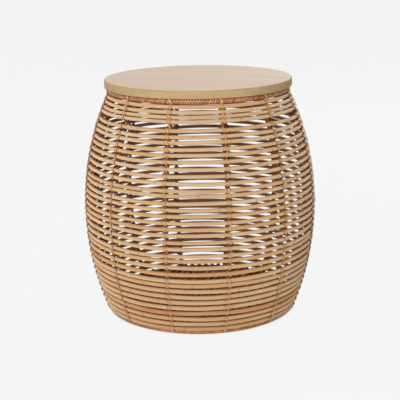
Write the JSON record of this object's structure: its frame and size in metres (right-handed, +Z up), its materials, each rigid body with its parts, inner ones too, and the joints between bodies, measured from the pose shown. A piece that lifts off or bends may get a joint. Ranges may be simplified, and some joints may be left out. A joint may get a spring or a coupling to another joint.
{
  "type": "rattan storage side table",
  "caption": "Barrel-shaped storage side table with a wall of level rattan hoops lashed to upright stakes, a slatted rattan floor and a round lift-off wooden lid.",
  "frame": {"origin": "middle of the round footprint, level with the ground that the bound foot hoop stands on", "axes": "+Z up along the axis of the hoops and the lid, -Y towards the pictured front"},
  "size_m": [0.4499, 0.45, 0.45],
  "materials": {
    "rattan_rod": "peeled rattan rod, satin",
    "cane_peel": "split cane, satin",
    "lid_wood": "pale wood, matt lacquer",
    "block_wood": "plain softwood, bare",
    "screw_steel": "zinc plated"
  },
  "bodies": {
    "basket": {"hoop_01": "rattan_rod", "hoop_02": "rattan_rod", "hoop_03": "rattan_rod", "hoop_04": "rattan_rod", "hoop_05": "rattan_rod", "hoop_06": "rattan_rod", "hoop_07": "rattan_rod", "hoop_08": "rattan_rod", "hoop_09": "rattan_rod", "hoop_10": "rattan_rod", "hoop_11": "rattan_rod", "hoop_12": "rattan_rod", "hoop_13": "rattan_rod", "hoop_14": "rattan_rod", "hoop_15": "rattan_rod", "hoop_16": "rattan_rod", "hoop_17": "rattan_rod", "hoop_18": "rattan_rod", "hoop_19": "rattan_rod", "hoop_20": "rattan_rod", "hoop_21": "rattan_rod", "hoop_22": "rattan_rod", "hoop_23": "rattan_rod", "hoop_24": "rattan_rod", "hoop_25": "rattan_rod", "hoop_26": "rattan_rod", "hoop_27": "rattan_rod", "hoop_28": "rattan_rod", "hoop_29": "rattan_rod", "hoop_30": "rattan_rod", "hoop_31": "rattan_rod", "hoop_32": "rattan_rod", "hoop_33": "rattan_rod", "hoop_34": "rattan_rod", "hoop_35": "rattan_rod", "hoop_36": "rattan_rod", "hoop_37": "rattan_rod", "stake_01": "rattan_rod", "stake_02": "rattan_rod", "stake_03": "rattan_rod", "stake_04": "rattan_rod", "stake_05": "rattan_rod", "stake_06": "rattan_rod", "stake_07": "rattan_rod", "stake_08": "rattan_rod", "stake_09": "rattan_rod", "stake_10": "rattan_rod", "stake_11": "rattan_rod", "stake_12": "rattan_rod", "rim_hoop": "rattan_rod", "foot_hoop": "rattan_rod", "rim_binding": "cane_peel", "foot_binding": "cane_peel", "cane_lashings": "cane_peel", "floor_ring": "rattan_rod", "floor_bars": "rattan_rod", "floor_rods": "rattan_rod"},
    "lid": {"lid_top": "lid_wood", "lid_locating_blocks": "block_wood", "lid_screws": "screw_steel"}
  },
  "joints": [
    {"name": "lid_lift", "type": "slide", "parent": "basket", "child": "lid", "axis": [0, 0, 1], "range_m": [0, 0.3]}
  ]
}
